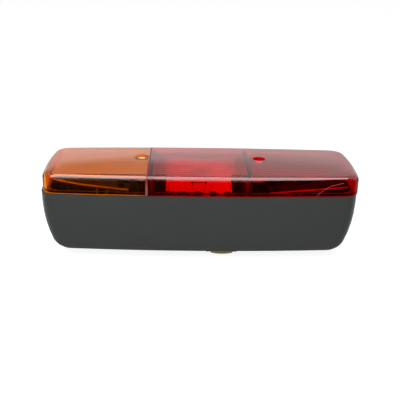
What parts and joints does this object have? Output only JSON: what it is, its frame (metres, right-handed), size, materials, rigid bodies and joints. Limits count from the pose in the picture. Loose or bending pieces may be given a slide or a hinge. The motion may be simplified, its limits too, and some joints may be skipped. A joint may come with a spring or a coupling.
{
  "type": "rear lamp cluster",
  "caption": "Oblong vehicle tail light cluster: amber turn lens beside a red stop and tail lens on a dark tapered housing with a screwed-on rim, bulbs inside and a cable gland in its back.",
  "frame": {"origin": "midway between the two mounting holes, on the back face that lies against the vehicle", "axes": "+X along the lamp, away from the amber end; +Z out of the lens; +Y away from the side where the terminal block sits"},
  "size_m": [0.2406, 0.08, 0.0686],
  "materials": {
    "housing_plastic": "moulded, matte with a soft sheen",
    "amber_plastic": "clear amber, glossy",
    "red_plastic": "clear red, glossy",
    "rubber": "matte",
    "plated_steel": "zinc plated, dull",
    "yellow_steel": "yellow passivated",
    "bright_sheet": "bright rolled sheet",
    "dark_sheet": "dark coat, bare cut edges",
    "brass": "satin",
    "insulating_board": "pressed board",
    "bulb_glass": "clear",
    "bulb_wire": "drawn wire",
    "black_plastic": "moulded",
    "lead_blue": "extruded",
    "lead_red": "extruded",
    "lead_brown": "extruded",
    "lead_yellow": "extruded"
  },
  "bodies": {
    "root": {"housing": "housing_plastic", "lens_amber": "amber_plastic", "lens_red": "red_plastic", "lens_gasket": "rubber", "screw_seals": "rubber", "gland_washer": "rubber", "gland_seal": "rubber", "mounting_bushes": "plated_steel", "carrier_screws": "plated_steel", "terminal_screws": "plated_steel", "holder_turn": "plated_steel", "holder_stop": "plated_steel", "holder_tail": "plated_steel", "lens_screws": "yellow_steel", "gland_nut": "yellow_steel", "reflector_stop": "bright_sheet", "carrier_turn": "dark_sheet", "carrier_tail": "dark_sheet", "contact_turn": "brass", "contact_stop": "brass", "contact_tail": "brass", "bulb_cap_turn": "brass", "bulb_cap_stop": "brass", "bulb_cap_tail": "brass", "terminal_clamps": "brass", "insulator_turn": "insulating_board", "insulator_stop": "insulating_board", "insulator_tail": "insulating_board", "bulb_glass_turn": "bulb_glass", "bulb_glass_stop": "bulb_glass", "bulb_glass_tail": "bulb_glass", "filament_turn": "bulb_wire", "filament_stop": "bulb_wire", "filament_tail": "bulb_wire", "terminal_block": "black_plastic", "gland_body": "black_plastic", "lead_turn": "lead_blue", "lead_stop": "lead_red", "lead_tail": "lead_brown", "lead_earth": "lead_yellow"}
  },
  "joints": []
}
